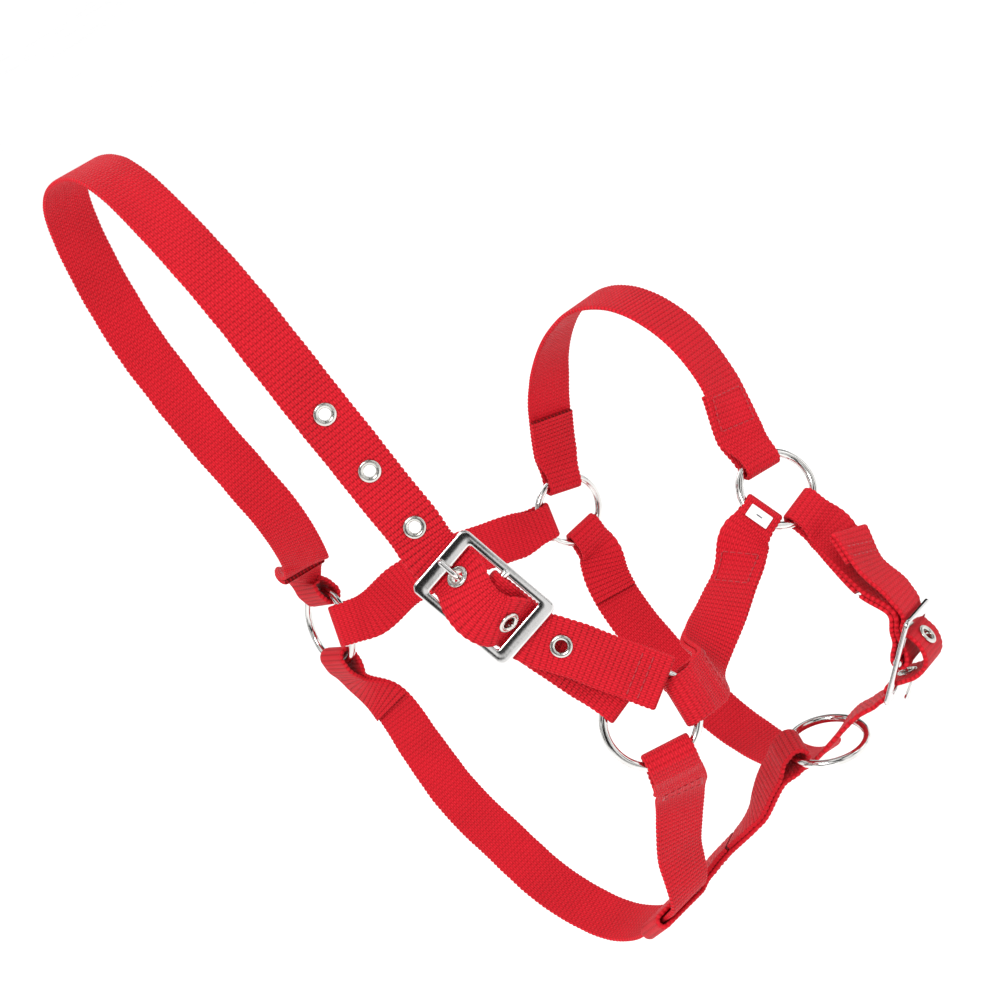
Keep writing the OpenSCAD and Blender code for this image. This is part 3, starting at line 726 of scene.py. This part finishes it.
# ---------------------------------------------------------------- straps
def punch(o, run, holes):
    """Cuts the eyelet holes through a strap."""
    cutters = []
    for s, v in holes:
        p, _, w, n = run.one(s)
        mid = p + w * v + n * PLY
        cutters.append(tube([mid - n * PUNCH_REACH, mid + n * PUNCH_REACH],
                            EYELET_BORE / 2 + PUNCH_CLEAR, 32))
    v, f = join(cutters)
    tool = make(o.name + "_cut", v, f, smooth=False)
    mod = o.modifiers.new("holes", "BOOLEAN")
    mod.operation, mod.object = "DIFFERENCE", tool
    mod.solver = "EXACT"
    dg = bpy.context.evaluated_depsgraph_get()
    me = bpy.data.meshes.new_from_object(o.evaluated_get(dg))
    o.modifiers.clear()
    o.data = me
    me.shade_smooth()
    bpy.data.objects.remove(tool)


def strap(node, run, path, seed, holes=()):
    """One strap's tape, in place of its CAD node."""
    v, f, data = grow_tape(run, path, seed)
    o = make(node + "_web", v, f, data, web_mat)
    if holes:
        punch(o, run, holes)
    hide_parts(node)
    return o


strap("crown_strap", crown_run,
      tape_path(crown_run, ring_fold(CHEEK_R, GATHER_CHEEK, 40, -35), hem), 1, crown_holes)
strap("crown_billet", billet_run, closed_path(billet_run, bar_fold, cheek_fold, 0.45), 2)
strap("left_cheek_strap", left_cheek_run,
      closed_path(left_cheek_run, ring_fold(CHEEK_R, GATHER_CHEEK, 0, 40), nose_fold), 3)
strap("right_cheek_strap", right_cheek_run,
      closed_path(right_cheek_run, nose_fold, ring_fold(CHEEK_R, GATHER_CHEEK, 0, -35)), 4)
strap("noseband", nose_run, tape_path(nose_run, nose_fold, nose_fold), 5)
strap("throat_strap", throat_run,
      tape_path(throat_run, ring_fold(CHEEK_R, GATHER_CHEEK, 38, 20),
                ring_fold(CHEEK_R, GATHER_CHEEK, 38, -40)), 6)
strap("chin_strap", chin_run, chin_path, 7, chin_holes)
strap("chin_billet", chin_billet_run, closed_path(chin_billet_run, bar_fold, nose_fold, 0.45), 8)
strap("connector_strap", link_run,
      closed_path(link_run, wrap_fold, ring_fold(LEAD_R, 21, 0, -44), 0.45), 9)


# ---------------------------------------------------------------- stitching
def stitch_row(run, s0, s1, v0, v1, side=1):
    """Thread lines on the tape's outer face: each stitch rises and dips back into the weave."""
    n = max(1, int(np.linalg.norm([s1 - s0, v1 - v0]) / STITCH))
    parts = []
    top = PLY + WEB_T / 2
    for i in range(n):
        a, b = (i + 0.12) / n, (i + 0.88) / n
        pts = []
        for k in np.linspace(0, 1, 7):
            x = mix(a, b, k)
            p, _, w, m = run.one(mix(s0, s1, x))
            rise = math.sin(math.pi * k) * STITCH_RISE - STITCH_SUNK
            pts.append(p + w * mix(v0, v1, x) + m * side * (top + rise))
        parts.append(tube(pts, [0.2, 0.3, 0.34, 0.36, 0.34, 0.3, 0.2], 8))
    return parts


def box_tack(run, s0, s1, w, side=1):
    """Four rows round a box from s0 to s1."""
    return (stitch_row(run, s0, s0, -w, w, side) + stitch_row(run, s1, s1, -w, w, side)
            + stitch_row(run, s0, s1, -w, -w, side) + stitch_row(run, s0, s1, w, w, side))


def tail_rows(run):
    """Two rows across the hem at a strap's free end."""
    return [x for d in (7, 12) for x in stitch_row(run, run.length - d, run.length - d, -10, 10)]


def both_ends(run, a, b, w):
    """The same box near each end of a strap."""
    return box_tack(run, a, b, w) + box_tack(run, run.length - b, run.length - a, w)


SEWING = {
    "crown_stitching": box_tack(crown_run, 20, 37, 9.5) + tail_rows(crown_run)
    + box_tack(billet_run, 34, 50, 9.5, -1),
    "cheek_stitching": both_ends(left_cheek_run, 20, 36, 9) + both_ends(right_cheek_run, 20, 36, 9),
    "nose_stitching": both_ends(nose_run, 18, 35, 9.5),
    "throat_stitching": both_ends(throat_run, 19, 36, 9.5),
    "chin_stitching": box_tack(chin_run, 18, 35, 9.5) + tail_rows(chin_run)
    + box_tack(chin_billet_run, 30, 44, 9.5, -1),
    "connector_stitching": box_tack(link_run, 26, 40, 9)
    + box_tack(link_run, link_run.length - 32, link_run.length - 20, 8.5),
}
for node, parts in SEWING.items():
    v, f = join(parts)
    o = make(node + "_thread", v, f, None, thread_mat)
    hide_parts(node)


# ---------------------------------------------------------------- rings
def ring_piece(node, ring, weld):
    """A wire ring with a slight swelling at its weld."""
    x = flat(vec(0.3, 0.5, 0.8), ring.n)
    y = np.cross(ring.n, x)
    a = np.linspace(0, 2 * math.pi, 160, endpoint=False)
    d = np.abs((np.degrees(a) - weld + 180) % 360 - 180)
    r = WIRE / 2 + WELD_SWELL * np.exp(-(d / 4.0) ** 2) - WELD_SWELL * np.exp(-(d / 1.2) ** 2)
    pts = ring.c + ring.r * (np.cos(a)[:, None] * x + np.sin(a)[:, None] * y)
    v, f = tube(pts, r, 32, closed=True, up=ring.n)
    o = make(node + "_wire", v, f, None, ring_mat, body=node)
    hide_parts(node)


for node, ring, weld in (("left_cheek_ring", ring_a, 40), ("right_cheek_ring", ring_b, 250),
                         ("left_nose_ring", ring_c, 120), ("right_nose_ring", ring_d, 200),
                         ("lead_ring", ring_e, 80)):
    ring_piece(node, ring, weld)


# ---------------------------------------------------------------- buckles
def rounded_loop(l, w, r, steps=10):
    """Points of a rounded rectangle, a fixed number for each corner and side."""
    pts, side_steps = [], 12
    for k, (sx, sy) in enumerate(((1, 1), (-1, 1), (-1, -1), (1, -1))):
        for j in range(steps + 1):
            a = math.radians(90 * k + 90 * j / steps)
            pts.append((sx * (l / 2 - r) + r * math.cos(a), sy * (w / 2 - r) + r * math.sin(a)))
        nx, ny = ((-1, 1), (-1, -1), (1, -1), (1, 1))[k]
        end = pts[-1]
        a = math.radians(90 * (k + 1))
        nxt = (nx * (l / 2 - r) + r * math.cos(a), ny * (w / 2 - r) + r * math.sin(a))
        for j in range(1, side_steps):
            t = j / side_steps
            pts.append((mix(end[0], nxt[0], t), mix(end[1], nxt[1], t)))
    return np.array(pts)


def frame_piece(node, b, length):
    """The cast frame: flat end bars, narrower domed rails, and the round centre bar."""
    out = rounded_loop(length, FRAME_W, FRAME_CORNER)
    inn = rounded_loop(length - 2 * END_BAR, FRAME_W - 2 * RAIL_W, WINDOW_CORNER)
    n = len(out)
    ang = np.radians(np.arange(0, 360, 15))
    ring = []
    for po, pi in zip(out, inn):
        mid, half = (po + pi) / 2, (po - pi) / 2
        for a in ang:
            cx = np.sign(math.cos(a)) * abs(math.cos(a)) ** 0.30
            cz = np.sign(math.sin(a)) * abs(math.sin(a)) ** 0.42
            q = mid + half * cx
            ring.append(b.at(q[0], q[1], cz * FRAME_T / 2))
    m = len(ang)
    faces = []
    for i in range(n):
        for j in range(m):
            k, q = (j + 1) % m, (i + 1) % n
            faces.append([i * m + j, q * m + j, q * m + k, i * m + k])
    reach = FRAME_W / 2 - RAIL_W / 2
    bar = tube([b.at(0, y, 0) for y in np.linspace(-reach, reach, 24)], BAR_D / 2, 28)
    v, f = join([(np.array(ring), faces), bar])
    o = make(node + "_metal", v, f, None, buckle_mat)
    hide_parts(node)


def bent_line(pts, trim=1.3):
    """Straight lengths of wire with a short round bend at each corner."""
    pts = [vec(*p) for p in pts]
    out = [mix(pts[0], pts[1], k) for k in np.linspace(0, 0.6, 4)]
    for p, q, r in zip(pts, pts[1:], pts[2:]):
        a, b = q - trim * unit(q - p), q + trim * unit(r - q)
        out += [mix(mix(a, q, k), mix(q, b, k), k) for k in np.linspace(0, 1, 7)]
    return np.array(out + [mix(out[-1], pts[-1], k) for k in np.linspace(0.2, 1, 12)])


def tongue_piece(node, body, b, y, pts):
    """A bent wire tongue with an eye that turns on the centre bar."""
    line = bent_line([(p[0], y, p[1]) for p in pts])
    world = np.array([b.at(*q) for q in line])
    r = np.full(len(world), TONGUE_D / 2)
    r[-1], r[-2] = 0.5 * r[0], 0.93 * r[0]
    wire = tube(world, r, 20)
    inner = BAR_D / 2 + GAP
    outer_r = inner + TONGUE_D * 0.9
    mid, half = (inner + outer_r) / 2, (outer_r - inner) / 2
    ang = np.radians(np.arange(0, 360, 20))
    prof = [(mid + half * math.copysign(abs(math.cos(a)) ** 0.7, math.cos(a)),
             TONGUE_D / 2 * math.copysign(abs(math.sin(a)) ** 0.7, math.sin(a))) for a in ang]
    eye = lathe(prof, b.at(0, y, 0), b.y, b.x, 44)
    v, f = join([wire, eye])
    o = make(node + "_metal", v, f, None, buckle_mat, body=body)
    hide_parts(node)


frame_piece("crown_buckle_frame", crown_b, CROWN_FRAME_L)
frame_piece("chin_buckle_frame", chin_b, CHIN_FRAME_L)
tongue_piece("crown_buckle_tongue", "crown_tongue", crown_b, -0.2,
             ((-3.2, -1.5), (-11.4, -1.6), (-15.8, 4.1), (-25.4, 2.9)))
tongue_piece("chin_buckle_tongue", "chin_tongue", chin_b, 0.0,
             ((-3.2, -1.5), (-7.6, -0.6), (-13.2, 6.2), (-24, 5)))


# ---------------------------------------------------------------- eyelets
def eyelet(run, s, v):
    """A barrel through the tape with a rolled rim on each face."""
    p, t, w, n = run.one(s)
    c = p + w * v + n * PLY
    top, bore, od = WEB_T / 2 + 0.1, EYELET_BORE / 2, EYELET_OD / 2
    mid, half, wall = (bore + od) / 2, (od - bore) / 2, bore + EYELET_WALL
    prof = [(bore + 0.05, 0)]
    for k in range(0, 181, 20):
        a = math.radians(180 - k)
        prof.append((mid + half * math.cos(a), top + EYELET_DOME * math.sin(a)))
    prof += [(wall, top - 0.02), (wall, 0), (wall, -top + 0.02)]
    for k in range(0, 181, 20):
        a = math.radians(k)
        prof.append((mid + half * math.cos(a), -top - EYELET_BACK * math.sin(a)))
    return lathe(prof, c, n, t)


for node, run, holes in (("crown_eyelets", crown_run, crown_holes),
                         ("chin_eyelets", chin_run, chin_holes)):
    v, f = join([eyelet(run, s, x) for s, x in holes])
    o = make(node + "_metal", v, f, None, eyelet_mat)
    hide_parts(node)


# ---------------------------------------------------------------- label
def plate(c, x, y, z, l, w, t, r):
    """A thin plate with rounded corners and a softened rim."""
    loop = rounded_loop(l, w, r, 4)
    parts = []
    for inset, h in ((0.25, -t / 2), (0, -t / 4), (0, t / 4), (0.25, t / 2)):
        k = vec(1 - 2 * inset / l, 1 - 2 * inset / w)
        parts.append(c + (loop * k) @ np.array([x, y]) + z * h)
    n = len(loop)
    faces = [[i * n + j, i * n + (j + 1) % n, (i + 1) * n + (j + 1) % n, (i + 1) * n + j]
             for i in range(3) for j in range(n)]
    return np.vstack(parts), faces + [list(range(n))[::-1], [3 * n + j for j in range(n)]]


p, t, w, n = right_cheek_run.one(1)
c = p + n * (FOLD_R + WEB_T / 2 + 0.3)
o = make("size_label_patch", *plate(c, w, t, n, LABEL_L, LABEL_W, LABEL_T, 0.5), None, label_mat)
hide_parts("size_label")
rule = make("size_label_rule", *plate(c + n * 0.22, w, t, n, RULE_L, RULE_W, RULE_T, 0.2),
            None, rule_mat)

# ---------------------------------------------------------------- floor, light, camera
bpy.context.scene.view_settings.view_transform = "Standard"
floor_me = bpy.data.meshes.new("floor")
z = cad_box[0][2] - FLOOR_DROP
floor_me.from_pydata([(-14, -14, z), (14, -14, z), (14, 14, z), (-14, 14, z)], [], [(0, 1, 2, 3)])
floor = bpy.data.objects.new("floor", floor_me)
bpy.context.scene.collection.objects.link(floor)
fm = Nodes("floor_pale")
place = fm.put("ShaderNodeTexCoord").outputs["Object"]
fm.link(fm.ramp(fm.noise(place, 3.0, 2.0), (0.3, (0.90, 0.90, 0.90)), (0.7, (0.93, 0.93, 0.93))),
        fm.bsdf.inputs["Base Color"])
fm.set(Roughness=0.9, Specular_IOR_Level=0.1)
floor_me.materials.append(fm.m)

world = bpy.data.worlds.new("studio")
bpy.context.scene.world = world
world.use_nodes = True
wt = world.node_tree
bg = wt.nodes["Background"]
coord = wt.nodes.new("ShaderNodeTexCoord")
wave = wt.nodes.new("ShaderNodeTexNoise")
wave.inputs["Scale"].default_value = 3.2
wave.inputs["Detail"].default_value = 1.0
wt.links.new(coord.outputs["Generated"], wave.inputs["Vector"])
shade = wt.nodes.new("ShaderNodeValToRGB")
for e, (pos, g) in zip(shade.color_ramp.elements, ((0.47, 0.02), (0.50, 1.0))):
    e.position, e.color = pos, (g, g, g, 1)
wt.links.new(wave.outputs["Fac"], shade.inputs["Fac"])
wt.links.new(shade.outputs["Color"], bg.inputs["Color"])
bg.inputs["Strength"].default_value = 1.0
plain = wt.nodes.new("ShaderNodeBackground")
plain.inputs["Color"].default_value = (1, 1, 1, 1)
plain.inputs["Strength"].default_value = 1.12
path = wt.nodes.new("ShaderNodeLightPath")
blend = wt.nodes.new("ShaderNodeMixShader")
wt.links.new(path.outputs["Is Glossy Ray"], blend.inputs["Fac"])
wt.links.new(plain.outputs[0], blend.inputs[1])
wt.links.new(bg.outputs[0], blend.inputs[2])
wt.links.new(blend.outputs[0], wt.nodes["World Output"].inputs["Surface"])


def stand(o, x, y, z, place):
    """Points an object's own axes along x, y and z, and puts it in its place."""
    o.matrix_world = Matrix([[*line] for line in zip(x, y, z, place)] + [[0, 0, 0, 1]])


def lamp(name, place, aim, size, watts):
    """A round area lamp at place that shines towards aim."""
    d = bpy.data.lights.new(name, "AREA")
    d.shape, d.size, d.energy = "DISK", size, watts
    o = bpy.data.objects.new(name, d)
    bpy.context.scene.collection.objects.link(o)
    z = unit(vec(*place) - vec(*aim))
    x = unit(np.cross(vec(0, 0, 1), z))
    stand(o, x, np.cross(z, x), z, place)


lamp("key", (-1.6, -1.5, 2.2), (0.05, 0, 0), 1.0, 38)
lamp("fill", (2.2, -1.6, 1.2), (0.05, 0, 0), 1.8, 6)
lamp("rim", (0.4, 2.2, 1.8), (0.05, 0, 0), 1.6, 10)

cam_data = bpy.data.cameras.new("camera")
cam_data.sensor_width, cam_data.lens = 36.0, 78.15
cam_data.clip_start, cam_data.clip_end = 0.05, 60
cam = bpy.data.objects.new("camera", cam_data)
bpy.context.scene.collection.objects.link(cam)
ahead = unit(vec(0.43446, 0.83667, -0.33352))
right = flat(vec(0.68762, -0.54727, -0.47715), ahead)
stand(cam, right, np.cross(right, ahead), -ahead, vec(-0.4082, -0.8996, 0.4138))
bpy.context.scene.camera = cam
